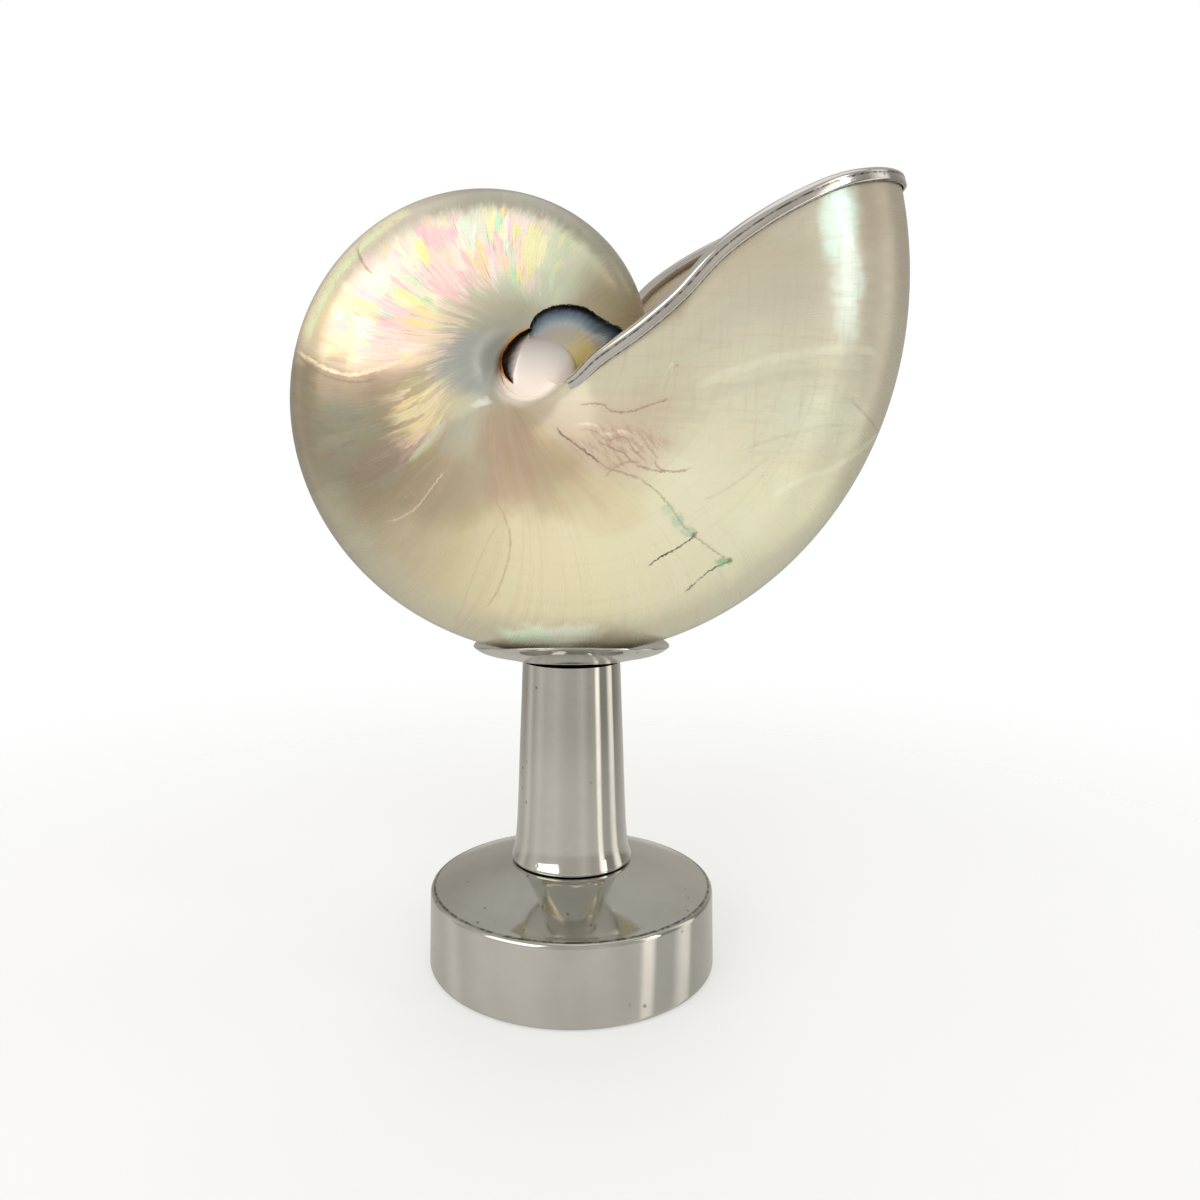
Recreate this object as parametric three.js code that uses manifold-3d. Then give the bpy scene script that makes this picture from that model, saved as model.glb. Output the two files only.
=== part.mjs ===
// A whole nautilus shell, polished to its mother-of-pearl, resting in a dish on a turned metal stand.
// Millimetres, +Z up. The origin is the centre of the flat underside of the base.
import * as THREE from 'three';
import { mergeVertices } from 'three/addons/utils/BufferGeometryUtils.js';
import Module from 'manifold-3d';

const wasm = await Module();
wasm.setup();

const DEG = Math.PI / 180;
const GAP = 0.3; // clearance between neighbouring pieces

// Stand
const BASE_RADIUS = 35;
const BASE_SIDE = 18.2; // height of the base's side, up to its top edge
const BASE_EDGE = 0.9; // rounding of the base's two edges
const SEAT_RADIUS = 15.4; // flat seat under the column, at the top of the dome
const SEAT_HEIGHT = 24.2;
const DOME_STEPS = 6;
const COLUMN_TOP = 12.2;
const COLUMN_LINE = [ // radius at heights above the foot: a small flare, then a slow taper
  [14.5, 0], [15, 0.5], [14.8, 1.2], [14.25, 2.6], [13.9, 4.5],
  [13.55, 9], [13.2, 18], [12.9, 28], [12.5, 39],
];
const DISH_BOTTOM = 73.4;
const DISH_RADIUS = 24.4;
const DISH_EDGE = 0.5; // thickness of the rim
const DISH_FLOOR = 75; // inside, on the axis
const DISH_RIM = 78.6; // mean height of the rim
const DISH_OUTSIDE = [[15.6, 74.5], [19.6, 75.5], [22.6, 76.8]]; // radius and height along the underside
const DISH_INSIDE = [[20, 77.2], [14, 76], [7, 75.25]];
const DISH_SADDLE = 1.4; // the rim is this much higher at front and back, and lower at the sides
const ROUND_STEPS = 44;
const BASE_STEPS = 56;

// Shell: a logarithmic spiral around the coiling axis
const LIP_ANGLE = 27; // direction of the aperture's outer lip, above the horizontal
const LIP_RADIUS = 98.9; // from the coiling axis to the venter there
const GROWTH = 0.1756; // growth exponent per radian, about 3.0 times per turn
const COIL_X = -13.5;
const COIL_Z = 145.8;
const TURNING_HEIGHT = 70; // the lean and the turn are about a point at this height on the axis
const LEAN = 7; // the top leans towards the front
const TURN = 6; // the aperture is turned away from the front
const SEPTUM_ANGLE = -96; // where the last wall closes the living chamber
const SEPTUM_DEPTH = 12; // degrees that the wall bulges back at its middle
const CHAMBER_START = -121; // the thin-walled part is joined to the solid coil here
const COIL_START = -510; // the oldest part modelled, buried inside the coil
const COIL_JOINT = -421;
const ANGLE_STEP = 8;
const WALL = 1.6;
const LIP_HOLLOW = 6; // degrees that the cut across the aperture is hollowed between the flanks

// Half-section of a whorl, in units of the whorl's radius
const WIDE_RHO = 0.45;
const HALF_WIDTH = 0.375;
const VENTER_POWER = 2.3;
const UMBILICUS_RHO = 0.1;
const UMBILICUS_WIDTH = 0.2;
const AXIS_RHO = 0.035;
const AXIS_WIDTH = 0.12;
const FLANK_STEPS = 10;
const SHOULDER_STEPS = 5;

// Callus that plugs the umbilicus on each side
const CALLUS_RADIUS = 8.6;
const CALLUS_X = 3.6;
const CALLUS_Z = -1.6;
const CALLUS_TOP = 15.6;
const CALLUS_DOME = 2.6;
const CALLUS_RINGS = 6;
const CALLUS_STEPS = 20;

// Edge of the aperture, as angles above the horizontal along the flank, by distance from the axis
const LIP_LINE = [
  [0.035, -32],
  [0.108, -29],
  [0.147, -0.5],
  [0.187, 11],
  [0.26, 19.5],
  [0.34, 25.5],
  [0.43, 30.8],
  [0.55, 32.3],
  [0.72, 31.3],
  [0.86, 29],
  [1, 26],
];

// Metal binding folded over the lip
const BINDING_SHEET = 0.7;
const BINDING_DEPTH = 2.1;
const BINDING_PLAY = 0.55; // room inside the fold, because the lip bends between its points
const BINDING_END_RHO = 0.125;

const METAL = { color: 0xb9b5a8, metalness: 1, roughness: 0.16 };
const PEARL = { color: 0xd9d2bd, metalness: 0, roughness: 0.22 };

function whorlRadius(angle) {
  return LIP_RADIUS * Math.exp(GROWTH * (angle - LIP_ANGLE) * DEG);
}

// Points of the half-section, from the axis out to the venter
function halfSection() {
  const points = [[AXIS_RHO, AXIS_WIDTH]];
  for (let i = 0; i < SHOULDER_STEPS; i += 1) {
    const inward = 1 - i / SHOULDER_STEPS;
    const rho = WIDE_RHO - (WIDE_RHO - UMBILICUS_RHO) * inward;
    const rise = Math.sqrt(1 - inward * inward);
    points.push([rho, UMBILICUS_WIDTH + (HALF_WIDTH - UMBILICUS_WIDTH) * rise]);
  }
  for (let i = 0; i <= FLANK_STEPS; i += 1) {
    const turn = (1 - i / FLANK_STEPS) * Math.PI / 2;
    const rho = WIDE_RHO + (1 - WIDE_RHO) * Math.cos(turn) ** (2 / VENTER_POWER);
    const width = HALF_WIDTH * Math.sin(turn) ** (2 / VENTER_POWER);
    points.push([rho, i === FLANK_STEPS ? 0 : width]);
  }
  return points;
}

// Angle of the aperture's edge at a distance from the axis
function lipAngle(rho) {
  const last = LIP_LINE.length - 1;
  const curve = new THREE.SplineCurve(LIP_LINE.map(([r, a]) => new THREE.Vector2(r, a / 100)));
  let low = 0;
  let high = 1;
  for (let i = 0; i < 30; i += 1) {
    const middle = (low + high) / 2;
    if (curve.getPoint(middle).x < rho) low = middle;
    else high = middle;
  }
  return rho >= LIP_LINE[last][0] ? LIP_LINE[last][1] : curve.getPoint(low).y * 100;
}

// The half-section at an angle, moved inwards by an inset and kept clear of the axis
function sectionPoint(points, index, angle, inset) {
  const radius = whorlRadius(angle);
  const [rho, width] = points[index];
  if (inset === 0) return [rho * radius, width * radius];
  const before = points[Math.max(index - 1, 0)];
  const after = index === points.length - 1 ? [before[0], -before[1]] : points[index + 1];
  const along = new THREE.Vector2(after[0] - before[0], after[1] - before[1]).normalize();
  const x = rho * radius + along.y * inset;
  const y = width * radius - along.x * inset;
  return [x, index === points.length - 1 ? 0 : y];
}

function place(distance, width, angle) {
  return [distance * Math.cos(angle * DEG), width, distance * Math.sin(angle * DEG)];
}

// A closed solid swept between two angles. from(rho) and to(rho) are the angles of its ends, inset
// moves its skin inwards, and bulge moves the middle of both ends back, in degrees.
function sweep(points, from, to, inset = 0, bulge = 0) {
  const count = points.length;
  const ring = 2 * count - 1;
  const span = Math.max(...points.map(([rho]) => to(rho) - from(rho)));
  const steps = Math.ceil(span / ANGLE_STEP);
  const vertices = [];
  const faces = [];
  for (let step = 0; step <= steps; step += 1) {
    for (let i = 0; i < ring; i += 1) {
      const index = Math.min(i, ring - 1 - i);
      const side = i < count ? -1 : 1;
      const [rho] = points[index];
      const angle = from(rho) + (to(rho) - from(rho)) * step / steps;
      const [distance, width] = sectionPoint(points, index, angle, inset);
      vertices.push(place(distance, side * width, angle));
    }
  }
  for (let a = 0; a < steps * ring; a += 1) {
    const b = a % ring === ring - 1 ? a - ring + 1 : a + 1;
    faces.push([a, b, a + ring], [b, b + ring, a + ring]);
  }
  // Both ends are closed by rungs from one flank to the other, through a point in the middle
  for (const [start, angleOf] of [[0, from], [steps * ring, to]]) {
    const end = [];
    const far = start + ring - 1;
    const middle = vertices.length - 1;
    for (let i = 1; i < count - 1; i += 1) {
      const [rho] = points[i];
      const angle = angleOf(rho) - bulge * Math.sqrt(1 - (2 * rho - 1) ** 2);
      const [distance] = sectionPoint(points, i, angleOf(rho), inset);
      vertices.push(place(distance, 0, angle));
    }
    end.push([start, start + 1, middle + 1], [start, middle + 1, far], [far, middle + 1, far - 1]);
    for (let i = 1; i < count - 2; i += 1) {
      end.push([start + i, start + i + 1, middle + i], [start + i + 1, middle + i + 1, middle + i]);
      end.push([far - i, middle + i, far - i - 1], [far - i - 1, middle + i, middle + i + 1]);
    }
    const venter = start + count - 1;
    end.push([venter - 1, venter, middle + count - 2], [venter, venter + 1, middle + count - 2]);
    faces.push(...end.map(([p, q, r]) => (start === 0 ? [p, r, q] : [p, q, r])));
  }
  return { vertices, faces };
}

function solid({ vertices, faces }) {
  const mesh = new wasm.Mesh({
    numProp: 3,
    vertProperties: new Float32Array(vertices.flat()),
    triVerts: new Uint32Array(faces.flat()),
  });
  return new wasm.Manifold(mesh);
}

function fromGeometry(geometry) {
  geometry.deleteAttribute('normal');
  geometry.deleteAttribute('uv');
  const merged = mergeVertices(geometry, 1e-4);
  const mesh = new wasm.Mesh({
    numProp: 3,
    vertProperties: new Float32Array(merged.attributes.position.array),
    triVerts: new Uint32Array(merged.index.array),
  });
  return new wasm.Manifold(mesh);
}

function toGeometry(manifold) {
  const mesh = manifold.getMesh();
  const geometry = new THREE.BufferGeometry();
  geometry.setAttribute('position', new THREE.BufferAttribute(new Float32Array(mesh.vertProperties), 3));
  geometry.setIndex(new THREE.BufferAttribute(new Uint32Array(mesh.triVerts), 1));
  geometry.computeVertexNormals();
  return geometry;
}

function lathe(profile, steps) {
  const geometry = new THREE.LatheGeometry(profile.map(([x, y]) => new THREE.Vector2(x, y)), steps);
  geometry.rotateX(Math.PI / 2);
  return geometry;
}

// The saucer: its rim dips at the sides and rises at front and back, as the shell above it does
function dishGeometry() {
  const profile = [
    [0, DISH_BOTTOM], [COLUMN_TOP, DISH_BOTTOM], ...DISH_OUTSIDE,
    [DISH_RADIUS - DISH_EDGE, DISH_RIM - 2 * DISH_EDGE], [DISH_RADIUS, DISH_RIM - DISH_EDGE],
    [DISH_RADIUS, DISH_RIM], [DISH_RADIUS - DISH_EDGE, DISH_RIM], ...DISH_INSIDE, [0, DISH_FLOOR],
  ];
  const geometry = lathe(profile, ROUND_STEPS);
  const places = geometry.attributes.position;
  for (let i = 0; i < places.count; i += 1) {
    const x = places.getX(i);
    const y = places.getY(i);
    const lift = DISH_SADDLE * (y * y - x * x) / DISH_RADIUS ** 2;
    if (Math.hypot(x, y) > COLUMN_TOP + GAP) places.setZ(i, places.getZ(i) + lift);
  }
  return toGeometry(fromGeometry(geometry));
}

function columnGeometry() {
  const foot = SEAT_HEIGHT + GAP;
  const top = DISH_BOTTOM - GAP;
  const sides = COLUMN_LINE.map(([radius, height]) => [radius, foot + height]);
  const profile = [[0, foot], ...sides, [COLUMN_TOP, top], [0, top]];
  return toGeometry(fromGeometry(lathe(profile, ROUND_STEPS)));
}

// A short cylinder with rounded edges, and a low dome rising to the seat under the column
function baseGeometry() {
  const corner = BASE_EDGE / 3; // how far the middle of a rounded edge lies inside the corner
  const profile = [[0, 0], [BASE_RADIUS - BASE_EDGE, 0]];
  profile.push([BASE_RADIUS - corner, corner], [BASE_RADIUS, BASE_EDGE]);
  profile.push([BASE_RADIUS, BASE_SIDE - BASE_EDGE], [BASE_RADIUS - corner, BASE_SIDE - corner]);
  const domeFoot = BASE_RADIUS - BASE_EDGE;
  for (let i = 0; i <= DOME_STEPS; i += 1) {
    const inward = i / DOME_STEPS;
    const rise = inward * (1.3 - 0.3 * inward); // a little steeper at the edge than by the seat
    const radius = domeFoot + (SEAT_RADIUS - domeFoot) * inward;
    profile.push([radius, BASE_SIDE + (SEAT_HEIGHT - BASE_SIDE) * rise]);
  }
  profile.push([0, SEAT_HEIGHT]);
  return toGeometry(fromGeometry(lathe(profile, BASE_STEPS)));
}

// The callus on one side of the umbilicus: a low dome on a round core, turned about its own axis
function callus(side) {
  const profile = [[0, 0], [CALLUS_RADIUS, 0]];
  for (let i = 0; i <= CALLUS_RINGS; i += 1) {
    const turn = i / CALLUS_RINGS * Math.PI / 2;
    profile.push([CALLUS_RADIUS * Math.cos(turn), CALLUS_TOP - CALLUS_DOME * (1 - Math.sin(turn))]);
  }
  profile[profile.length - 1][0] = 0;
  const geometry = lathe(profile, CALLUS_STEPS);
  geometry.rotateX(side * Math.PI / 2);
  geometry.translate(CALLUS_X, 0, CALLUS_Z);
  return fromGeometry(geometry);
}

function shellGeometry() {
  const section = halfSection();
  const at = (angle) => () => angle;
  const past = (rho) => lipAngle(rho) + 2 * ANGLE_STEP;
  const chamberSection = section.slice(1);
  const oldCoil = solid(sweep(section, at(COIL_START), at(COIL_JOINT)));
  const coil = solid(sweep(section, at(COIL_JOINT), at(CHAMBER_START)));
  const outside = solid(sweep(section, at(CHAMBER_START), lipAngle, 0, LIP_HOLLOW));
  const inside = solid(sweep(chamberSection, at(SEPTUM_ANGLE), past, WALL, SEPTUM_DEPTH));
  const plugs = callus(-1).add(callus(1));
  return toGeometry(outside.subtract(inside).add(coil).add(oldCoil).add(plugs));
}

// The channel-shaped strip folded over the lip, from one end of the umbilicus round to the other
function bindingGeometry() {
  const section = halfSection().filter(([rho]) => rho > BINDING_END_RHO);
  const half = section.map((point, index) => {
    const angle = lipAngle(point[0]);
    return place(...sectionPoint(section, index, angle, 0), angle);
  });
  const line = [];
  half.forEach(([x, y, z]) => line.push(new THREE.Vector3(x, -y, z)));
  half.slice(0, -1).reverse().forEach(([x, y, z]) => line.push(new THREE.Vector3(x, y, z)));
  const count = line.length;
  const out = GAP + BINDING_SHEET;
  const back = -WALL - BINDING_PLAY;
  const inner = back - BINDING_SHEET;
  const channel = [
    [GAP, -BINDING_DEPTH], [out, -BINDING_DEPTH], [out, out / 2], [out / 2, out], [back, out],
    [inner, out / 2], [inner, -BINDING_DEPTH], [back, -BINDING_DEPTH], [back, GAP], [GAP, GAP],
  ];
  const ring = channel.length;
  const vertices = [];
  const faces = [];
  for (let i = 0; i < count; i += 1) {
    const along = line[Math.min(i + 1, count - 1)].clone().sub(line[Math.max(i - 1, 0)]).normalize();
    const centre = line[i];
    const inPlane = Math.atan2(centre.z, centre.x);
    const growth = new THREE.Vector3(-Math.sin(inPlane), 0, Math.cos(inPlane));
    growth.addScaledVector(centre, GROWTH / Math.hypot(centre.x, centre.z)).normalize();
    const outward = along.clone().cross(growth).normalize();
    const forward = outward.clone().cross(along).normalize();
    for (const [a, b] of channel) {
      const point = centre.clone().addScaledVector(outward, a).addScaledVector(forward, b);
      vertices.push([point.x, point.y, point.z]);
    }
  }
  for (let a = 0; a < (count - 1) * ring; a += 1) {
    const b = a % ring === ring - 1 ? a - ring + 1 : a + 1;
    faces.push([a, a + ring, b], [b, a + ring, b + ring]);
  }
  const shape = channel.map(([a, b]) => new THREE.Vector2(a, b));
  const last = (count - 1) * ring;
  for (const [a, b, c] of THREE.ShapeUtils.triangulateShape(shape, [])) {
    faces.push([a, b, c], [last + a, last + c, last + b]);
  }
  return toGeometry(solid({ vertices, faces }));
}

const group = new THREE.Group();
const mounted = new THREE.Group();
mounted.position.set(0, 0, TURNING_HEIGHT);
mounted.rotation.set(LEAN * DEG, 0, TURN * DEG, 'ZXY');
group.add(mounted);

function addPiece(parent, name, geometry, look, position) {
  const mesh = new THREE.Mesh(geometry, new THREE.MeshStandardMaterial(look));
  mesh.name = name;
  if (position) mesh.position.copy(position);
  parent.add(mesh);
}

const coilCentre = new THREE.Vector3(COIL_X, 0, COIL_Z - TURNING_HEIGHT);
addPiece(mounted, 'shell', shellGeometry(), PEARL, coilCentre);
addPiece(mounted, 'rim_binding', bindingGeometry(), METAL, coilCentre);
addPiece(group, 'dish', dishGeometry(), METAL);
addPiece(group, 'column', columnGeometry(), METAL);
addPiece(group, 'base', baseGeometry(), METAL);

export default group;
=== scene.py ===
"""A whole nautilus shell, polished to its mother-of-pearl, bound with metal round its aperture and
resting in the dish of a turned metal stand. Shapes are worked out in millimetres and placed in metres."""
import math

import bmesh
import bpy
import numpy as np
from mathutils import Euler, Matrix, Vector


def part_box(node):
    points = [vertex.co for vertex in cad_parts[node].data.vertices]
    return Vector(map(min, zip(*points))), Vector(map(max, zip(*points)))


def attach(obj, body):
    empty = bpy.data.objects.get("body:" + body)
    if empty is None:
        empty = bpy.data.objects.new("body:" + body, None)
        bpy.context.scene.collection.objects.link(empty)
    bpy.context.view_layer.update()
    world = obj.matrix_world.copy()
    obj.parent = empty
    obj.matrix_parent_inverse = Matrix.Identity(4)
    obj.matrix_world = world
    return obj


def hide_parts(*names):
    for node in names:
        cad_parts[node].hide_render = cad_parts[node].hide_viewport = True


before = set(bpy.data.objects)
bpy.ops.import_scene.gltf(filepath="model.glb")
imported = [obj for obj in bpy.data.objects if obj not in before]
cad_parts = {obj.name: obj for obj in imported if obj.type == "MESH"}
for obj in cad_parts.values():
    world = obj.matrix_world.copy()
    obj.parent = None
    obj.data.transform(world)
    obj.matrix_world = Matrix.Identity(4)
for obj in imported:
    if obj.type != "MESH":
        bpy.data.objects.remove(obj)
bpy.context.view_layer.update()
MM = 0.001

# ---------------- sizes, the same as the CAD model's

GAP = 0.3
LIP_ANGLE = 27
LIP_RADIUS = 98.9
GROWTH = 0.1756
COIL_X = -13.5
COIL_Z = 145.8
TURNING_HEIGHT = 70
LEAN = 7
TURN = 6
SEPTUM_ANGLE = -96
SEPTUM_DEPTH = 12
CHAMBER_START = -121
COIL_START = -510
COIL_JOINT = -421
WALL = 1.6
LIP_HOLLOW = 6
WIDE_RHO = 0.45
HALF_WIDTH = 0.375
VENTER_POWER = 2.3
UMBILICUS_RHO = 0.1
UMBILICUS_WIDTH = 0.2
AXIS_RHO = 0.035
AXIS_WIDTH = 0.12
LIP_LINE = [
    (0.035, -32), (0.108, -29), (0.147, -0.5), (0.187, 11), (0.26, 19.5), (0.34, 25.5),
    (0.43, 30.8), (0.55, 32.3), (0.72, 31.3), (0.86, 29), (1, 26),
]

BINDING_SHEET = 0.7
BINDING_DEPTH = 2.1
BINDING_PLAY = 0.55
BINDING_END_RHO = 0.12
BINDING_CROWN = 1.1  # how far the rounded fold stands in front of the lip
BINDING_TURN_RHO = (0.34, 0.18)  # between these the strip turns to lie flat on the shell

BASE_SIDE = 18.2  # height of the base's upright side
BASE_EDGE = 0.9
BASE_CORNER = 1.1
DOME_REACH = 0.4  # how far short of the column's foot the dome stops
DOME_STEPS = 24
# Radius and height above the foot, up the column, then a fillet for each corner of its whole profile
COLUMN_WAIST = [(14.25, 2.6), (13.9, 4.5), (13.55, 9), (13.2, 18), (12.9, 28), (12.5, 39)]
COLUMN_TOP = 12.2
COLUMN_FILLETS = {1: 0.4, 2: 0.3, 4: 0.9, 5: 0.9, 6: 2, 7: 3, 8: 3, 9: 3}
# Radius and height of the dish's underside and of its inside, from the rim in
DISH_OUTSIDE = [(15.6, 74.5), (19.6, 75.5), (22.6, 76.8)]
DISH_RIM = [(0.4, 77.9), (0, 78.35), (0.05, 78.6), (0.5, 78.6)]  # how far in from the edge, and height
DISH_INSIDE = [(20, 77.2), (14, 76), (7, 75.25), (0, 75)]
DISH_FILLETS = {2: 1.5, 3: 2, 4: 1, 5: 0.4, 6: 0.12, 7: 0.12, 8: 0.2, 9: 2, 10: 3, 11: 3}
DISH_SADDLE = 1.4
SADDLE_START = 12.5

CALLUS_RADIUS = 8.6
CALLUS_X = 3.9
CALLUS_Z = -1.0
CALLUS_TOP = 14.2
CALLUS_DOME = 3.2
CALLUS_TILT = 0.22  # the plug is higher towards the younger shell below it
CALLUS_RINGS = 20
CALLUS_STEPS = 72

# The sunken ledge beside the plug: its outer edge as (degrees, radius) round the plug's centre
LEDGE_EDGE = [
    (-28, 14), (-10, 18.5), (8, 21), (26, 21.2), (32, 19.6), (41, 18.2), (54, 17.2),
    (66, 15.8), (79, 14.2), (92, 12.3), (99, 10.9), (107, 8.2),
]
LEDGE_DEPTH = 2.0
LEDGE_STEP = 0.5  # its depth at its inner end, under the plug
LEDGE_START = 4.0
LEDGE_SLOPE = 2.2
# The dark crescent on the plug's other side, its degrees counted from -X, with its width
CRESCENT_EDGE = [
    (80, 9.4, 0.3), (60, 9.1, 2.4), (35, 8.8, 3.8), (12, 8.6, 4.0), (-8, 8.0, 2.6), (-28, 6.9, 0.3),
]
CRESCENT_DEPTH = 2.6
CRESCENT_SLOPE = 1.5
CARVING_TOP = 16.2
CRESCENT_TOP = 18.0

ANGLE_STEP = 1.5
SECTION_POINTS = 62
TOOL_OVERRUN = 16  # degrees by which the tool that hollows the chamber passes the lip
SHELL_CREASE = 38  # edges sharper than this stay sharp
METAL_CREASE = 50


# ---------------- the spiral

def whorl_radius(angle):
    return LIP_RADIUS * np.exp(GROWTH * np.radians(np.asarray(angle, float) - LIP_ANGLE))


def half_width(rho):
    """Half the whorl's width at a distance from the axis, both in units of the whorl's radius."""
    rho = np.clip(np.asarray(rho, float), 0, 1)
    outward = np.clip((rho - WIDE_RHO) / (1 - WIDE_RHO), 0, 1)
    flank = HALF_WIDTH * (1 - outward ** VENTER_POWER) ** (1 / VENTER_POWER)
    inward = np.clip((WIDE_RHO - rho) / (WIDE_RHO - UMBILICUS_RHO), 0, 1)
    shoulder = UMBILICUS_WIDTH + (HALF_WIDTH - UMBILICUS_WIDTH) * np.sqrt(1 - inward ** 2)
    funnel = AXIS_WIDTH + (UMBILICUS_WIDTH - AXIS_WIDTH) * (rho - AXIS_RHO) / (UMBILICUS_RHO - AXIS_RHO)
    return np.where(rho > WIDE_RHO, flank, np.where(rho > UMBILICUS_RHO, shoulder, funnel))


def half_section(count=SECTION_POINTS):
    """Evenly spaced points of the half-section, from near the axis out to the venter."""
    turn = np.linspace(0, math.pi / 2, 400)
    outer = WIDE_RHO + (1 - WIDE_RHO) * np.sin(turn) ** (2 / VENTER_POWER)
    width = HALF_WIDTH * np.cos(turn) ** (2 / VENTER_POWER)
    inner = np.linspace(AXIS_RHO, WIDE_RHO, 400)[:-1]
    rho = np.concatenate([inner, outer])
    eta = np.concatenate([half_width(inner), width])
    length = np.concatenate([[0], np.cumsum(np.hypot(np.diff(rho), np.diff(eta)))])
    even = np.linspace(0, length[-1], count)
    points = np.stack([np.interp(even, length, rho), np.interp(even, length, eta)], axis=1)
    points[-1] = (1, 0)
    return points


def lip_curve():
    """The aperture's edge as dense points of a Catmull-Rom curve through LIP_LINE."""
    line = np.array(LIP_LINE, float)
    padded = np.vstack([line[0], line, line[-1]])
    found = []
    for i in range(len(line) - 1):
        p0, p1, p2, p3 = padded[i:i + 4]
        for t in np.linspace(0, 1, 24, endpoint=False):
            v0, v1 = (p2 - p0) / 2, (p3 - p1) / 2
            found.append((2 * p1 - 2 * p2 + v0 + v1) * t ** 3 + (3 * p2 - 3 * p1 - 2 * v0 - v1) * t ** 2
                         + v0 * t + p1)
    return np.vstack([found, line[-1]])


LIP_CURVE = lip_curve()


def lip_angle(rho):
    return np.interp(rho, LIP_CURVE[:, 0], LIP_CURVE[:, 1])


def section_at(points, angle, inset):
    """The half-section in millimetres at an angle for each of its points, its skin moved inwards."""
    radius = whorl_radius(angle)[:, None]
    mirrored = np.vstack([points, points[-2] * (1, -1)])
    along = np.gradient(mirrored, axis=0)[:-1]
    along /= np.linalg.norm(along, axis=1)[:, None]
    inward = np.stack([along[:, 1], -along[:, 0]], axis=1)
    placed = points * radius + inward * inset
    placed[-1, 1] = 0
    return placed


def place(distance, width, angle):
    turn = np.radians(angle)
    return np.stack([distance * np.cos(turn), width, distance * np.sin(turn)], axis=-1)


def sweep(points, start, end, inset=0.0, bulge=0.0):
    """A closed solid swept between two angles, given for each point of the section. bulge moves the
    middle of both ends back, in degrees. Returns vertices and faces."""
    count = len(points)
    ring = 2 * count - 1
    steps = int(math.ceil(np.max(end - start) / ANGLE_STEP))
    order = np.concatenate([np.arange(count), np.arange(count - 2, -1, -1)])
    side = np.where(np.arange(ring) < count, -1, 1)
    rows = []
    for step in range(steps + 1):
        angle = start + (end - start) * step / steps
        placed = section_at(points, angle, inset)[order]
        rows.append(place(placed[:, 0], side * placed[:, 1], angle[order]))
    vertices = list(np.concatenate(rows))
    a = np.arange(steps * ring)
    b = np.where(a % ring == ring - 1, a - ring + 1, a + 1)
    faces = [tuple(f) for f in np.stack([a, b, b + ring, a + ring], axis=1).tolist()]
    for first, angles in ((0, start), (steps * ring, end)):
        far = first + ring - 1
        middle = len(vertices) - 1
        placed = section_at(points, angles, inset)
        back = angles - bulge * np.sqrt(np.clip(1 - (2 * points[:, 0] - 1) ** 2, 0, 1))
        vertices += list(place(placed[:, 0], np.zeros(count), back)[1:-1])
        cap = [(first, first + 1, middle + 1), (first, middle + 1, far), (far, middle + 1, far - 1)]
        for i in range(1, count - 2):
            cap.append((first + i, first + i + 1, middle + i + 1, middle + i))
            cap.append((far - i, middle + i, middle + i + 1, far - i - 1))
        venter = first + count - 1
        cap += [(venter - 1, venter, middle + count - 2), (venter, venter + 1, middle + count - 2)]
        faces += [face[::-1] if first == 0 else face for face in cap]
    return np.array(vertices), faces


# ---------------- making objects

def coil_to_world():
    """From the shell's own frame, in millimetres with the coiling axis along Y, to the row frame."""
    turned = Euler((math.radians(LEAN), 0, 0)).to_matrix().to_4x4()
    turned = Euler((0, 0, math.radians(TURN))).to_matrix().to_4x4() @ turned
    centre = Matrix.Translation((COIL_X, 0, COIL_Z - TURNING_HEIGHT))
    return Matrix.Scale(MM, 4) @ Matrix.Translation((0, 0, TURNING_HEIGHT)) @ turned @ centre


COIL_TO_WORLD = coil_to_world()


def new_object(name, vertices, faces):
    mesh = bpy.data.meshes.new(name)
    mesh.from_pydata([tuple(v) for v in vertices], [], faces)
    mesh.update()
    mesh.polygons.foreach_set("use_smooth", [True] * len(mesh.polygons))
    piece = bpy.data.objects.new(name, mesh)
    bpy.context.scene.collection.objects.link(piece)
    return piece


def apply_modifiers(piece):
    depsgraph = bpy.context.evaluated_depsgraph_get()
    made = bpy.data.meshes.new_from_object(piece.evaluated_get(depsgraph))
    old = piece.data
    piece.modifiers.clear()
    piece.data = made
    bpy.data.meshes.remove(old)


def combine(piece, others, operation):
    """Joins to or cuts from the piece the other solids, and deletes them."""
    for other in others:
        change = piece.modifiers.new("combine", "BOOLEAN")
        change.operation = operation
        change.solver = "MANIFOLD"
        change.object = other
    apply_modifiers(piece)
    for other in others:
        bpy.data.objects.remove(other)


def finish_piece(piece, node):
    piece.data.materials.clear()
    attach(piece, "root")
    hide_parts(node)


# ---------------- the shell

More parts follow.
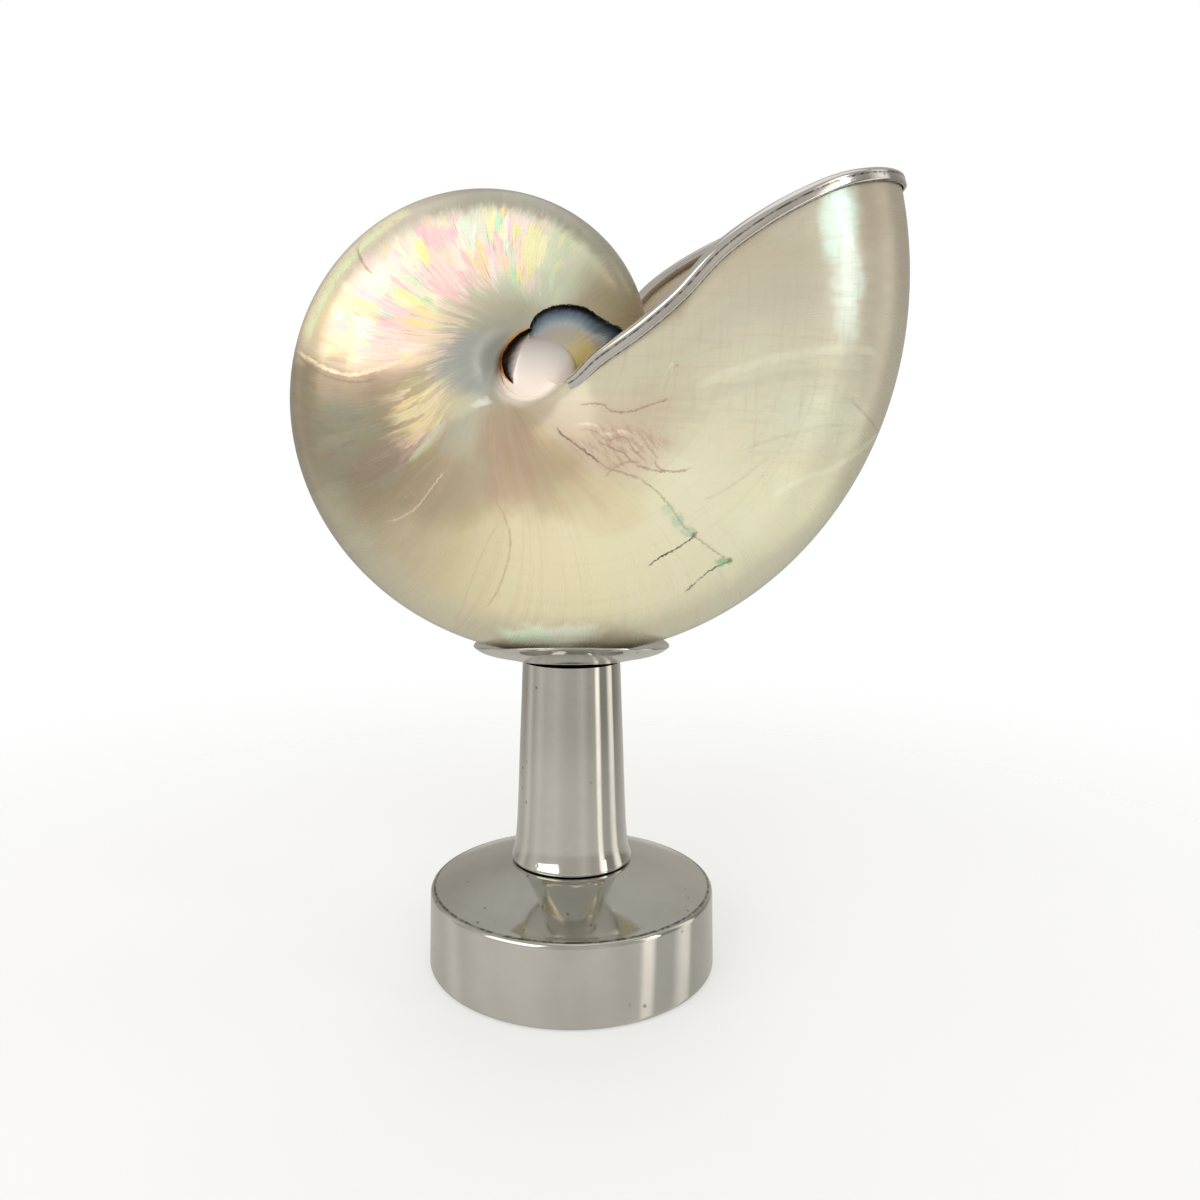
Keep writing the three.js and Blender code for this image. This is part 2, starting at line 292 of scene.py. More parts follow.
def callus(side):
    """The plug on one side of the umbilicus: a low dome, tilted towards the older shell above it."""
    around = CALLUS_STEPS
    turn = np.linspace(0, 2 * math.pi, around, endpoint=False)
    vertices = [(CALLUS_X, 0, CALLUS_Z)]
    levels = [(CALLUS_RADIUS, 0.0)]
    for i in range(CALLUS_RINGS):
        rise = i / CALLUS_RINGS * math.pi / 2
        levels.append((CALLUS_RADIUS * math.cos(rise), CALLUS_TOP - CALLUS_DOME * (1 - math.sin(rise))))
    for radius, height in levels:
        x, z = radius * np.cos(turn), radius * np.sin(turn)
        y = np.zeros(around) if height == 0 else height - CALLUS_TILT * z
        vertices += list(np.stack([CALLUS_X + x, side * y, CALLUS_Z + z], axis=1))
    vertices.append((CALLUS_X, side * CALLUS_TOP, CALLUS_Z))
    faces = []
    for i in range(around):
        j = (i + 1) % around
        faces.append((0, 1 + i, 1 + j))
        for level in range(CALLUS_RINGS):
            a, b = 1 + level * around, 1 + (level + 1) * around
            faces.append((a + i, b + i, b + j, a + j))
        top = 1 + CALLUS_RINGS * around
        faces.append((top + i, len(vertices) - 1, top + j))
    if side < 0:
        faces = [face[::-1] for face in faces]
    return new_object("callus", vertices, faces)


def flank_height(x, z):
    """How far from the middle plane the old whorl's flank lies at a place beside the umbilicus."""
    angle = np.degrees(np.arctan2(z, x)) - 360
    radius = whorl_radius(angle)
    return half_width(np.hypot(x, z) / radius) * radius


def carving(side, x, z, floor, top):
    """A tool for cutting a hollow: grids of x, z and the floor's height, closed by a flat top."""
    rows, columns = x.shape
    lower = np.stack([x, side * floor, z], axis=2).reshape(-1, 3)
    upper = np.stack([x, side * top + 0 * x, z], axis=2).reshape(-1, 3)
    shift = rows * columns
    faces = []
    for i in range(rows - 1):
        for j in range(columns - 1):
            a, b = i * columns + j, (i + 1) * columns + j
            faces.append((a, b, b + 1, a + 1))
            faces.append((shift + a, shift + a + 1, shift + b + 1, shift + b))
    for i in range(rows - 1):
        for a, b in ((i * columns, (i + 1) * columns), ((i + 2) * columns - 1, (i + 1) * columns - 1)):
            faces.append((a, a + shift, b + shift, b))
    for j in range(columns - 1):
        last = (rows - 1) * columns
        for a, b in ((j + 1, j), (last + j, last + j + 1)):
            faces.append((a, a + shift, b + shift, b))
    tool = new_object("carving", np.concatenate([lower, upper]), faces)
    tidy = bmesh.new()
    tidy.from_mesh(tool.data)
    bmesh.ops.recalc_face_normals(tidy, faces=tidy.faces)
    tidy.to_mesh(tool.data)
    tidy.free()
    return tool


def ledge_carving(side):
    """The hollow beside the plug: shallow by the plug, deepest along its ragged outer edge."""
    edge = np.array(LEDGE_EDGE, float)
    angles = np.linspace(edge[0, 0], edge[-1, 0], 180)
    outer = np.interp(angles, edge[:, 0], edge[:, 1])
    outer += 0.14 * np.sin(angles * 1.1) + 0.1 * np.sin(angles * 2.9 + 1)
    part = np.linspace(0, 1, 26)
    radius = LEDGE_START + (outer[:, None] - LEDGE_START) * part
    turn = np.radians(angles)[:, None]
    x, z = CALLUS_X + radius * np.cos(turn), CALLUS_Z + radius * np.sin(turn)
    floor = flank_height(x, z) - LEDGE_STEP - (LEDGE_DEPTH - LEDGE_STEP) * part ** LEDGE_SLOPE
    return carving(side, x, z, floor, CARVING_TOP)


def crescent_carving(side):
    """The dark gap between the plug and the wall of the umbilicus."""
    edge = np.array(CRESCENT_EDGE, float)[::-1]
    angles = np.linspace(edge[0, 0], edge[-1, 0], 80)
    outer = np.interp(angles, edge[:, 0], edge[:, 1])
    width = np.interp(angles, edge[:, 0], edge[:, 2])
    part = np.linspace(0, 1, 12)
    radius = outer[:, None] - width[:, None] * (1 - part)
    turn = np.radians(angles)[:, None]
    x, z = CALLUS_X - radius * np.cos(turn), CALLUS_Z + radius * np.sin(turn)
    dome = CALLUS_TOP - CALLUS_DOME * (1 - np.sqrt(np.clip(1 - (radius / CALLUS_RADIUS) ** 2, 0, 1)))
    floor = dome - CALLUS_TILT * (z - CALLUS_Z) + 0.1 - CRESCENT_DEPTH * part ** CRESCENT_SLOPE
    return carving(side, x, z, floor, CRESCENT_TOP)


def spiral_place(points):
    """The angle, the distance from the axis and the depth under the skin of points on the shell, in
    the shell's own frame. The whorl is the one whose skin, outside or inside, lies nearest."""
    flat = np.hypot(points[:, 0], points[:, 2])
    direction = np.degrees(np.arctan2(points[:, 2], points[:, 0]))
    best = np.full(len(points), np.inf)
    angle = np.zeros(len(points))
    rho = np.zeros(len(points))
    depth = np.zeros(len(points))
    for turns in (0, -1, -2):
        here = direction + 360 * turns
        part = flat / whorl_radius(here)
        skin = half_width(np.minimum(part, 1)) * whorl_radius(here)
        near_venter = (1 - part) * whorl_radius(here)
        under = np.minimum(skin - np.abs(points[:, 1]), near_venter + 0 * skin)
        allowed = (here < lip_angle(np.clip(part, 0, 1)) + 1.5) & (part < 1.05)
        miss = np.minimum(np.abs(under), np.abs(under - WALL) + 0.1)
        miss = np.where(allowed, miss, np.inf)
        better = miss < best
        best = np.where(better, miss, best)
        angle = np.where(better, here, angle)
        rho = np.where(better, part, rho)
        depth = np.where(better, under, depth)
    return angle, rho, depth


def shell_piece():
    section = half_section()
    level = np.ones(len(section))
    lip = lip_angle(section[:, 0])
    chamber = new_object("shell", *sweep(section, CHAMBER_START * level, lip, 0, LIP_HOLLOW))
    hollow_section = section[np.searchsorted(section[:, 0], UMBILICUS_RHO):]
    flat = np.ones(len(hollow_section))
    beyond = lip_angle(hollow_section[:, 0]) + TOOL_OVERRUN
    hollow = new_object("hollow", *sweep(hollow_section, SEPTUM_ANGLE * flat, beyond, WALL, SEPTUM_DEPTH))
    combine(chamber, [hollow], "DIFFERENCE")
    coil = new_object("coil", *sweep(section, COIL_JOINT * level, CHAMBER_START * level))
    old_coil = new_object("old_coil", *sweep(section, COIL_START * level, COIL_JOINT * level))
    combine(chamber, [coil, old_coil], "UNION")
    combine(chamber, [ledge_carving(-1), ledge_carving(1)], "DIFFERENCE")
    combine(chamber, [callus(-1), callus(1)], "UNION")
    combine(chamber, [crescent_carving(-1), crescent_carving(1)], "DIFFERENCE")
    mesh = chamber.data
    places = np.empty(len(mesh.vertices) * 3)
    mesh.vertices.foreach_get("co", places)
    places = places.reshape(-1, 3)
    angle, rho, depth = spiral_place(places)
    growth = mesh.attributes.new("growth", "FLOAT_VECTOR", "POINT")
    values = np.stack([angle - lip_angle(np.clip(rho, 0, 1)), rho, depth], axis=1)
    growth.data.foreach_set("vector", values.astype(np.float32).ravel())
    spot = mesh.attributes.new("spot", "FLOAT_VECTOR", "POINT")
    values = places[:, (0, 2, 1)]
    spot.data.foreach_set("vector", values.astype(np.float32).ravel())
    mesh.transform(COIL_TO_WORLD)
    mesh.polygons.foreach_set("use_smooth", [True] * len(mesh.polygons))
    mesh.set_sharp_from_angle(angle=math.radians(SHELL_CREASE))
    finish_piece(chamber, "shell")
    return chamber


# ---------------- the binding round the lip

def binding_piece():
    section = half_section(400)
    section = section[section[:, 0] > BINDING_END_RHO][::4]
    if section[-1, 0] < 1:
        section = np.vstack([section, (1, 0)])
    angles = lip_angle(section[:, 0])
    placed = section_at(section, angles, 0.0)
    near = place(placed[:, 0], -placed[:, 1], angles)
    far = place(placed[:, 0], placed[:, 1], angles)[:-1][::-1]
    line = np.vstack([near, far])
    along = np.gradient(line, axis=0)
    along /= np.linalg.norm(along, axis=1)[:, None]
    flat = np.hypot(line[:, 0], line[:, 2])[:, None]
    growth = np.stack([-line[:, 2], 0 * line[:, 0], line[:, 0]], axis=1) / flat + GROWTH * line / flat
    outward = np.cross(along, growth)
    outward /= np.linalg.norm(outward, axis=1)[:, None]
    rho = np.concatenate([section[:, 0], section[:-1, 0][::-1]])[:, None]
    sideways = np.sign(line[:, 1:2]) * np.array([[0, 1, 0]])
    first, last = BINDING_TURN_RHO
    turned = np.clip((first - rho) / (first - last), 0, 1) * 0.8
    outward = outward * (1 - turned) + sideways * turned
    outward /= np.linalg.norm(outward, axis=1)[:, None]
    forward = np.cross(outward, along)
    forward /= np.linalg.norm(forward, axis=1)[:, None]
    out = GAP + BINDING_SHEET
    back = -WALL - BINDING_PLAY
    far_side = back - BINDING_SHEET
    middle, half = (out + far_side) / 2, (out - far_side) / 2
    turns = np.linspace(0.25, math.pi, 12)
    crown = [(middle + half * math.cos(t), BINDING_CROWN * math.sin(t)) for t in turns]
    channel = [(GAP, -BINDING_DEPTH), (out - 0.35, -BINDING_DEPTH - 0.05)]
    channel += [(out - 0.12, -BINDING_DEPTH + 0.15)]
    channel += [(out + 0.06, -BINDING_DEPTH * part) for part in (0.85, 0.7, 0.5)]
    channel += [(out + 0.03, -0.5), (out - 0.04, -0.25), (out + 0.02, -0.02)]
    channel += crown
    channel += [(far_side, -BINDING_DEPTH + 0.2), (far_side + 0.25, -BINDING_DEPTH - 0.05)]
    channel += [(back, -BINDING_DEPTH), (back, GAP), (GAP, GAP)]
    ring, count = len(channel), len(line)
    vertices = []
    for centre, side, ahead in zip(line, outward, forward):
        vertices += [centre + a * side + b * ahead for a, b in channel]
    faces = []
    for i in range(count - 1):
        for j in range(ring):
            k = (j + 1) % ring
            faces.append((i * ring + j, (i + 1) * ring + j, (i + 1) * ring + k, i * ring + k))
    faces.append(tuple(range(ring)))
    faces.append(tuple(reversed(range((count - 1) * ring, count * ring))))
    binding = new_object("rim_binding_polished", vertices, faces)
    fold = binding.data.attributes.new("fold", "FLOAT", "POINT")
    folds = [b if a > middle else BINDING_DEPTH for a, b in channel]
    fold.data.foreach_set("value", np.tile(folds, count).astype(np.float32))
    binding.data.transform(COIL_TO_WORLD)
    binding.data.set_sharp_from_angle(angle=math.radians(METAL_CREASE))
    finish_piece(binding, "rim_binding")
    return binding


# ---------------- the turned stand

def rounded(profile, fillets, steps=6):
    """The profile with round corners: fillets gives a radius for the corners that have one."""
    found = []
    for i, point in enumerate(profile):
        radius = fillets.get(i)
        if not radius:
            found.append(point)
            continue
        corner = Vector(point)
        before = (Vector(profile[i - 1]) - corner).normalized() * radius
        after = (Vector(profile[i + 1]) - corner).normalized() * radius
        for step in range(steps + 1):
            t = step / steps
            found.append(tuple(corner + before * (1 - t) ** 2 + after * t ** 2))
    return found


def lathe(name, profile, around=192, lift=None):
    """A closed solid turned about Z. lift(radius, turn) raises points of the profile."""
    turn = np.linspace(0, 2 * math.pi, around, endpoint=False)
    vertices, rings = [], []
    for radius, height in profile:
        rings.append((len(vertices), radius > 1e-6))
        if radius > 1e-6:
            z = height + (lift(radius, turn) if lift else 0) + 0 * turn
            vertices += list(np.stack([radius * np.cos(turn), radius * np.sin(turn), z], axis=1) * MM)
        else:
            vertices.append((0, 0, height * MM))
    faces = []
    for (a, a_ring), (b, b_ring) in zip(rings, rings[1:]):
        for i in range(around):
            j = (i + 1) % around
            if a_ring and b_ring:
                faces.append((a + i, a + j, b + j, b + i))
            elif a_ring:
                faces.append((a + i, a + j, b))
            elif b_ring:
                faces.append((a, b + j, b + i))
    piece = new_object(name, vertices, faces)
    piece.data.set_sharp_from_angle(angle=math.radians(METAL_CREASE))
    return piece


def base_piece():
    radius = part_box("base")[1].x / MM
    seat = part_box("base")[1].z / MM
    start = radius - BASE_CORNER
    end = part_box("column")[1].x / MM + DOME_REACH
    profile = [(0, 0), (radius, 0), (radius - 0.15, BASE_SIDE - 0.1)]
    for t in np.linspace(0, 1, DOME_STEPS)[1:]:
        rise = t * (1.3 - 0.3 * t)
        profile.append((start + (end - start) * t, BASE_SIDE + (seat - BASE_SIDE) * rise))
    profile = rounded(profile, {1: BASE_EDGE, 2: BASE_CORNER})
    base = lathe("base_polished", profile + [(0, seat)])
    fold = base.data.attributes.new("fold", "FLOAT", "POINT")
    fold.data.foreach_set("value", [math.hypot(*vertex.co.xy) / MM for vertex in base.data.vertices])
    finish_piece(base, "base")
    return base


def column_piece():
    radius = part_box("column")[1].x / MM
    foot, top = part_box("column")[0].z / MM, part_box("column")[1].z / MM
    profile = [(0, foot), (radius - 0.1, foot), (radius, foot + 0.7), (radius - 0.25, foot + 1.3)]
    profile += [(waist, foot + height) for waist, height in COLUMN_WAIST]
    profile += [(COLUMN_TOP, top), (0, top)]
    column = lathe("column_polished", rounded(profile, COLUMN_FILLETS))
    finish_piece(column, "column")
    return column


def dish_piece():
    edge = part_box("dish")[1].x / MM
    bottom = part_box("dish")[0].z / MM

    def saddle(radius, turn):
        return 0.0 if radius < SADDLE_START else -DISH_SADDLE * (radius / edge) ** 2 * np.cos(2 * turn)

    profile = [(0, bottom), (COLUMN_TOP, bottom)] + DISH_OUTSIDE
    profile += [(edge - inward, height) for inward, height in DISH_RIM]
    dish = lathe("dish_polished", rounded(profile + DISH_INSIDE, DISH_FILLETS), lift=saddle)
    finish_piece(dish, "dish")
    return dish


# ---------------- materials

class Nodes:
    """A short way to add nodes to a tree: inputs are given by name or number, as values or sockets."""

    def __init__(self, tree):
        self.tree = tree

    def add(self, kind, inputs=None, **settings):
        node = self.tree.nodes.new(kind)
        for name, value in settings.items():
            setattr(node, name, value)
        self.fill(node, inputs or {})
        return node

    def fill(self, node, inputs):
        """Gives a node's inputs their values, or links them to sockets."""
        for key, value in inputs.items():
            if isinstance(value, bpy.types.NodeSocket):
                self.tree.links.new(value, node.inputs[key])
            else:
                node.inputs[key].default_value = value

    def maths(self, operation, a, b=0):
        return self.add("ShaderNodeMath", {0: a, 1: b}, operation=operation).outputs[0]

    def plus(self, a, b):
        return self.maths("ADD", a, b)

    def minus(self, a, b):
        return self.maths("SUBTRACT", a, b)

    def times(self, value, *others):
        for other in others:
            value = self.maths("MULTIPLY", value, other)
        return value

    def scaled(self, value, low, high, to_low=0, to_high=1, smooth=True):
        kind = "SMOOTHSTEP" if smooth else "LINEAR"
        names = {"Value": value, "From Min": low, "From Max": high, "To Min": to_low, "To Max": to_high}
        return self.add("ShaderNodeMapRange", names, interpolation_type=kind).outputs[0]

    def mix(self, factor, a, b):
        node = self.add("ShaderNodeMix", data_type="RGBA")
        self.fill(node, {0: factor, 6: a, 7: b})
        return node.outputs[2]

    def noise(self, vector, scale, detail=3, rough=0.5, distortion=0):
        names = {"Vector": vector, "Scale": scale, "Detail": detail, "Roughness": rough,
                 "Distortion": distortion}
        return self.add("ShaderNodeTexNoise", names)

    def vector(self, x, y, z=0):
        return self.add("ShaderNodeCombineXYZ", {0: x, 1: y, 2: z}).outputs[0]

    def split(self, vector):
        return self.add("ShaderNodeSeparateXYZ", {0: vector}).outputs

    def curve(self, value, points):
        """A smooth curve through points of (value, result), held flat beyond its ends."""
        x0, x1 = points[0][0], points[-1][0]
        low, high = min(p[1] for p in points) - 1, max(p[1] for p in points) + 1
        node = self.add("ShaderNodeFloatCurve", {1: self.scaled(value, x0, x1, smooth=False)})
        curve = node.mapping.curves[0]
        while len(curve.points) < len(points):
            curve.points.new(0.5, 0.5)
        for slot, (x, y) in zip(curve.points, points):
            slot.location = ((x - x0) / (x1 - x0), (y - low) / (high - low))
        node.mapping.update()
        return self.scaled(node.outputs[0], 0, 1, low, high, smooth=False)

    def linear_ramp(self, value, low, high, stops):
        """A colour ramp over a range of values. Its stops have colours as the shader takes them."""
        node = self.add("ShaderNodeValToRGB", {0: self.scaled(value, low, high, smooth=False)})
        elements = node.color_ramp.elements
        while len(elements) < len(stops):
            elements.new(0.5)
        for element, (place_at, colour) in zip(elements, stops):
            element.position = (place_at - low) / (high - low)
            element.color = colour
        return node.outputs[0]

    def ramp(self, value, low, high, stops):
        """The same, with colours as display values out of 255."""
        return self.linear_ramp(value, low, high, [(place_at, srgb(*colour)) for place_at, colour in stops])

    def dot(self, vector, x, y):
        node = self.add("ShaderNodeVectorMath", {0: vector, 1: (x, y, 0)}, operation="DOT_PRODUCT")
        return node.outputs["Value"]

    def line(self, flat, points, half_width, fade=0.08):
        """How much a place is on a line through the points: 1 along its middle, fading at its ends."""
        (ax, az), (bx, bz) = points[0], points[-1]
        length = math.hypot(bx - ax, bz - az)
        ux, uz = (bx - ax) / length, (bz - az) / length
        along = self.minus(self.dot(flat, ux, uz), ax * ux + az * uz)
        across = self.dot(flat, -uz, ux)
        route = [((x - ax) * ux + (z - az) * uz, z * ux - x * uz) for x, z in points]
        away = self.maths("ABSOLUTE", self.minus(across, self.curve(along, route)))
        ends = self.maths("MINIMUM", along, self.minus(length, along))
        inside = self.scaled(ends, 0, fade * length)
        return self.times(self.scaled(away, half_width, half_width * 0.3), inside)


def srgb(red, green, blue):
    """A colour given by its display values out of 255."""
    def linear(value):
        value /= 255
        return value / 12.92 if value <= 0.04045 else ((value + 0.055) / 1.055) ** 2.4
    return (linear(red), linear(green), linear(blue), 1)


def new_material(name):
    material = bpy.data.materials.new(name)
    material.use_nodes = True
    nodes = Nodes(material.node_tree)
    shader = material.node_tree.nodes["Principled BSDF"]
    return material, nodes, shader


# The metals' colours, as the shader takes them
BINDING_TINT = (0.76, 0.73, 0.7)
STAND_TINT = (0.67, 0.66, 0.62)
# Painted dark lines in the metal: where on the piece's "fold", in millimetres, then half-width and
# strength.
# On the binding, a painted dark reflection under the crown, painted shadow along its lower edge and a faint
# line between; on the base, a painted dark reflection just inside the top edge.
# The fold is the distance in front of the lip on the binding, and from the axis on the base.
BINDING_PAINTED_DARK_LINES = [(-0.3, 0.28, 0.85), (-BINDING_DEPTH, 0.3, 0.9), (-1.5, 0.12, 0.3)]
BASE_PAINTED_DARK_LINES = [(33.9, 0.45, 0.8)]

# The nacre's tints along the spiral, by degrees behind the lip: on the middle of the flank, along the
# keel, and close to the umbilicus. The near-white stretch of the flank, from -275 to -211, is partly a
# painted highlight. The dark stretches along the keel are partly painted reflection of the dim room.
FLANK_TINTS_AND_HIGHLIGHT = [
    (-366, (160, 149, 120)), (-345, (160, 152, 128)), (-330, (196, 200, 174)), (-310, (216, 226, 198)),
    (-292, (226, 230, 206)), (-275, (242, 240, 222)), (-255, (248, 240, 216)), (-235, (254, 238, 214)),
    (-222, (254, 236, 224)), (-211, (250, 222, 190)), (-207, (176, 152, 126)), (-192, (142, 130, 104)),
    (-172, (136, 122, 100)), (-157, (172, 160, 132)), (-141, (196, 184, 150)), (-125, (219, 209, 173)),
    (-105, (222, 215, 180)), (-87, (221, 215, 184)), (-66, (222, 220, 190)), (-50, (217, 212, 184)),
    (-31, (207, 205, 182)), (-17, (194, 188, 168)), (-4, (186, 178, 154)),
]
KEEL_TINTS_AND_REFLECTION = [
    (-366, (150, 146, 128)), (-300, (148, 148, 132)), (-278, (158, 154, 138)), (-262, (196, 188, 170)),
    (-240, (206, 196, 174)), (-212, (208, 192, 162)), (-206, (138, 126, 102)), (-188, (132, 121, 98)),
    (-164, (164, 160, 138)), (-137, (198, 190, 162)), (-90, (204, 199, 172)), (-50, (206, 205, 180)),
    (-26, (188, 180, 160)), (-8, (172, 162, 144)),
]
INNER_TINTS = [
    (-366, (178, 174, 154)), (-240, (172, 170, 152)), (-205, (160, 161, 148)), (-170, (168, 168, 156)),
    (-140, (176, 166, 140)), (-100, (162, 146, 118)), (-70, (182, 166, 142)), (-30, (196, 188, 164)),
    (-10, (200, 196, 172)),
]

# Glints of colour in the polished nacre, in the order they come: partly its own play of colour, partly
# painted iridescent highlight
GLINTS = [
    (0.1, (250, 196, 206)), (0.22, (255, 222, 222)), (0.35, (250, 214, 170)), (0.46, (250, 244, 138)),
    (0.57, (255, 246, 206)), (0.66, (168, 240, 184)), (0.78, (255, 252, 246)), (0.9, (250, 200, 206)),
]

# Soft patches of tint, some of them painted light as marked: centre and half-sizes in millimetres from
# the coiling axis, in the coiling plane, then the colour and how strong it is.
PATCHES_OF_TINT_AND_LIGHT = [
    ((-10, 1), (8, 9), (158, 162, 156), 0.85),
    # Partly painted highlight: the pink and the yellow of the left flank's bright area
    ((-31, 8), (9, 9), (252, 212, 204), 0.55),
    ((-40, 6), (4, 9), (248, 222, 158), 0.5),
    # Painted shade and painted reflection of the inner wall, beside the end of the rim
    ((24, 14), (7, 6), (160, 148, 118), 0.9),
    # Painted highlight: a small bright spot left of the plug
    ((-9.8, -9.2), (2.4, 0.9), (248, 250, 246), 0.5),
    ((-14, -9), (4, 3), (214, 214, 190), 0.4),
    ((-22, -9), (8, 5), (206, 188, 138), 0.45),
    ((-34, -19), (10, 12), (126, 118, 98), 0.55),
    ((-40, -14), (5, 7), (128, 130, 114), 0.6),
    ((-17, -27), (10, 7), (140, 122, 98), 0.5),
    ((-4, -22), (5, 9), (158, 124, 104), 0.55),
    ((-10, 13), (7, 5), (184, 180, 156), 0.75),
    ((2, 17.5), (9, 3), (188, 194, 170), 0.6),
    ((4, -24), (8, 9), (172, 150, 120), 0.6),
    ((16, -30), (9, 6), (206, 190, 150), 0.5),
    ((-41, -3), (3.5, 5), (150, 132, 112), 0.7),
    # Painted highlight: the green-white glint low on the belly
    ((8, -61.5), (9, 3), (252, 255, 238), 0.85),
    ((1, -61), (5, 2), (222, 255, 220), 0.55),
    ((55, 29), (10, 4), (196, 190, 172), 0.6),
    # Painted highlight: the cyan-white tint of the tall highlight on the right flank
    ((64, 32), (4.5, 9), (222, 250, 238), 0.85),
    ((68, 17), (3.4, 10), (228, 244, 234), 0.6),
    ((73, 34), (6, 8), (168, 155, 136), 0.7),
    ((77, 10), (5, 16), (178, 168, 150), 0.6),
    ((58, -30), (12, 9), (228, 228, 194), 0.6),
    ((62, -12), (12, 7), (216, 222, 198), 0.5),
    ((20, -17), (9, 5), (204, 182, 160), 0.6),
]

# Lines on the near flank, where the shell cracked and mended, with a band of painted highlight along the
# left edge and a scar's painted shadow: points in millimetres, half-width, colour and strength. Two have
# a height as well, which is below 0 for a crack and above 0 for a ridge.
INK = (52, 40, 32)
MARKS_AND_PAINTED_LIGHT = [
    ([(6, -12), (8, -15), (11, -17), (16, -21), (21, -23), (27, -26), (31, -30), (36, -36), (40, -39),
      (46, -43)], 0.32, (164, 140, 112), 0.6, -0.5),
    ([(7, -13), (8, -15), (11, -17.2), (16, -21)], 0.32, (108, 92, 78), 0.8),
    ([(37.3, -36.8), (33, -39.7), (28.5, -42.5), (27, -44)], 0.26, INK, 0.95),
    ([(45.6, -43.2), (41, -45.5), (38, -48.5), (36, -50.5)], 0.3, INK, 0.8),
    ([(11.5, -8.7), (16, -8.4), (18, -9.8), (21, -10), (26, -8.4), (30, -7)], 0.3, (150, 112, 94), 0.7),
    ([(10.5, -13), (15, -13), (17, -14.7), (21, -14.2), (24, -17.3), (27.5, -19.8), (30, 0),
      (32, -19.8), (35, -20.8), (38, -19)], 0.45, (230, 220, 200), 0.5),
    # Painted shadow: the brown line just below the pale scar
    ([(11, -14.2), (15, -14.2), (17, -15.9), (21, -15.4), (24, -18.5), (27.5, -21), (31, 0),
      (36, -21.6)], 0.35, (158, 126, 106), 0.6),
    ([(15, -16), (18.5, -17.7), (20.5, -18.5), (23.7, -21.2), (28, -22.4), (31, -22.2)], 0.34,
     (160, 130, 112), 0.7),
    ([(17, -24), (20.5, -21), (24.3, -20.8)], 0.4, (168, 138, 122), 0.6),
    ([(-5, -18), (-6, -22.4), (-7.4, -25), (-6, -29.3), (-4, -33.6), (-3, -39), (-4, -45), (-9.5, -55)],
     0.4, (178, 154, 126), 0.55),
    ([(-31, -34.3), (-24.6, -32.3), (-20.2, -27.3), (-17, -23)], 0.3, (214, 206, 184), 0.5),
    ([(-15, -59.6), (-9.5, -42.6), (-5.2, -33.6)], 0.28, (190, 170, 140), 0.5),
    ([(-51, 3.1), (-46.6, 0.3), (-42, -1.9), (-37.4, -2.9), (-32, -1.8), (-26.6, 0), (-22.4, 2.6)], 0.7,
     (255, 226, 190), 0.8, 1),
    ([(-50, 1.4), (-46, -1.4), (-42, -3.4), (-37.4, -4.4), (-32, -3.4)], 0.4, (132, 112, 88), 0.6),
    # Painted highlight: the yellow-white band along the left edge, and its green tint below
    ([(-48, 3.6), (-44.7, 13.6), (-39.2, 22), (-31.6, 29.6), (-24, 34.4)], 2.6, (244, 240, 196), 0.6),
    ([(-47, 4.6), (-43.6, 14), (-38, 22.2), (-30.6, 29.6)], 0.9, (214, 244, 190), 0.5),
    ([(-36.6, 25.6), (-35.1, 21.7), (-32.5, 18.8)], 0.4, (150, 126, 104), 0.65),
    ([(45.6, -18.2), (52, -15.6), (59, -13.9), (66.3, -12.4), (75, -13.1), (82, -16)], 0.5,
     (186, 184, 162), 0.35),
    ([(37.6, -28.7), (42, -27), (46, -24.3), (52.4, -18.8)], 0.5, (184, 172, 158), 0.35),
    ([(53.6, -28.9), (60.4, -24.5), (68, -22.5), (76.6, -18.3), (84.5, -14)], 1.1, (236, 238, 212), 0.4),
    ([(34, -5.2), (44, -0.9), (55, 2.3), (66.7, 3.7), (78, 3)], 1.4, (224, 224, 202), 0.45),
    ([(70.8, -6.9), (78, -11.4), (84.5, -15.6)], 0.45, (168, 156, 138), 0.6),
    ([(36, -7.4), (46, -4), (57, -1.6), (68, -1.4), (78, -3.4)], 1.6, (192, 190, 168), 0.45),
    ([(-0.2, -2.7), (2.4, -4.2)], 0.3, (110, 98, 92), 0.7),
    ([(6.6, -2.9), (7.8, -2.4)], 0.3, (120, 108, 100), 0.5),
]

# Green stains beside the cracks, as the soft patches above but on the near flank alone
STAINS = [
    ((30.6, -30.8), (1.2, 1.2), (158, 196, 160), 0.5),
    ((33, -33.2), (1.3, 1.5), (142, 188, 156), 0.6),
    ((35.6, -35.8), (1.5, 1.1), (132, 186, 156), 0.6),
    ((36.9, -36.4), (0.6, 0.6), (92, 90, 64), 0.7),
    ((44.2, -43), (1.5, 1), (112, 176, 132), 0.7),
    ((45.9, -42.9), (0.6, 0.7), (96, 84, 62), 0.75),
]


def patch(n, x, z, centre, half_sizes):
    """1 at the middle of a soft oval, 0 outside it."""
    dx = n.maths("DIVIDE", n.minus(x, centre[0]), half_sizes[0])
    dz = n.maths("DIVIDE", n.minus(z, centre[1]), half_sizes[1])
    away = n.plus(n.times(dx, dx), n.times(dz, dz))
    return n.scaled(away, 2.2, 0.1)


def shaken(n, value, noise_channel, amount):
    """The value moved to and fro by a channel of noise, by up to about half the amount."""
    return n.plus(value, n.times(n.minus(noise_channel, 0.5), amount))


